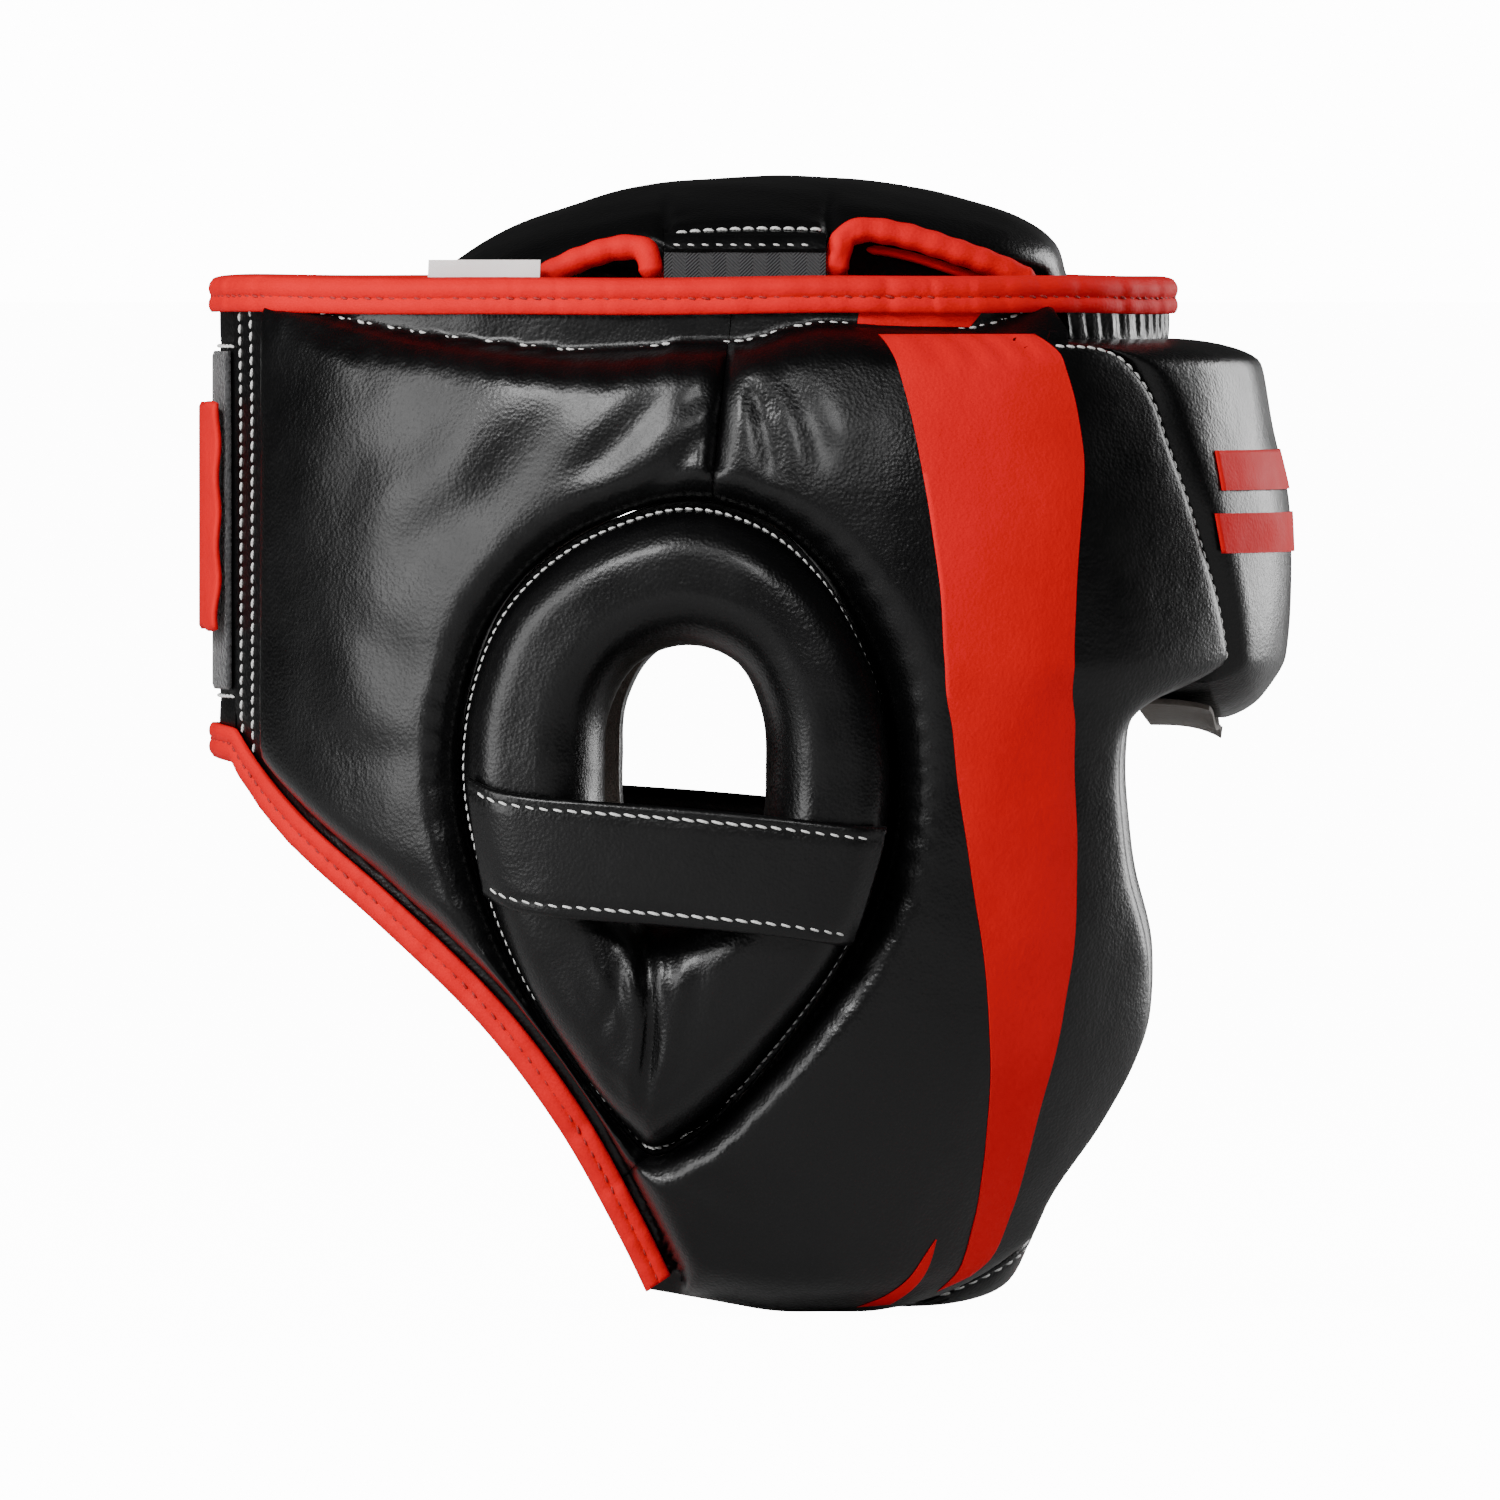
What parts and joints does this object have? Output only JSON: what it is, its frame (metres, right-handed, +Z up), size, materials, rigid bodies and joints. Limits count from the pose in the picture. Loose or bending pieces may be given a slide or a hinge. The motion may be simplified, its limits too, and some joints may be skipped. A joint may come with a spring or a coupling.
{
  "type": "boxing headgear",
  "caption": "Padded head guard with a padded forehead, cheek pads, ear rings with straps, a padded crown, a rear hook-and-loop closure and a chin strap.",
  "frame": {"origin": "centre of the bounding box at its lowest level, where the jaw pads' undersides are", "axes": "+X towards the wearer's forehead, +Y towards the wearer's left, +Z up to the crown"},
  "size_m": [0.2626, 0.2214, 0.2712],
  "materials": {
    "black_leather": "fine-grained, semi-gloss black synthetic leather",
    "red_leather": "smooth semi-gloss red synthetic leather",
    "foam": "soft closed-cell foam, hidden inside the pads",
    "lining": "short brown-grey suede",
    "webbing": "herringbone-woven black elastic webbing",
    "hook_and_loop": "black hook-and-loop fastener",
    "label": "smooth woven white label, left blank"
  },
  "bodies": {
    "shell": {"cheek_cover_right": "black_leather", "wing_cover_right": "black_leather", "ear_ring_cover_right": "black_leather", "ear_strap_right": "black_leather", "cheek_foam_right": "foam", "wing_foam_right": "foam", "ear_ring_foam_right": "foam", "cheek_lining_right": "lining", "wing_lining_right": "lining", "ear_ring_lining_right": "lining", "cheek_cover_left": "black_leather", "wing_cover_left": "black_leather", "ear_ring_cover_left": "black_leather", "ear_strap_left": "black_leather", "cheek_foam_left": "foam", "wing_foam_left": "foam", "ear_ring_foam_left": "foam", "cheek_lining_left": "lining", "wing_lining_left": "lining", "ear_ring_lining_left": "lining", "forehead_cover": "black_leather", "forehead_band": "black_leather", "rear_panel": "black_leather", "crown_cover": "black_leather", "chin_strap_left": "black_leather", "chin_anchor_right": "black_leather", "chin_anchor_left": "black_leather", "forehead_foam": "foam", "crown_foam": "foam", "forehead_lining": "lining", "crown_lining": "lining", "brow_facing": "lining", "rear_strap_root": "red_leather", "rim_binding": "red_leather", "neck_binding": "red_leather", "crown_front_piping_left": "red_leather", "crown_rear_piping_left": "red_leather", "crown_front_piping_right": "red_leather", "crown_rear_piping_right": "red_leather", "rear_loop_field": "hook_and_loop", "chin_loop_patch": "hook_and_loop", "crown_tab_left": "webbing", "crown_tab_right": "webbing", "crown_elastic_left": "webbing", "crown_elastic_right": "webbing", "size_label": "label"},
    "rear_strap": {"rear_strap": "red_leather", "rear_hook_patch": "hook_and_loop"},
    "chin_strap": {"chin_strap_right": "black_leather", "chin_hook_patch": "hook_and_loop"}
  },
  "joints": [
    {"name": "rear_strap_fold", "type": "hinge", "parent": "shell", "child": "rear_strap", "pos_m": [-0.1231, 0.0249, 0.1895], "axis": [0, 0, -1], "range_deg": [0, 110]},
    {"name": "chin_strap_fold", "type": "hinge", "parent": "shell", "child": "chin_strap", "pos_m": [0.0375, -0.037, 0.001], "axis": [-0.819, -0.5737, 0], "range_deg": [0, 95]}
  ]
}
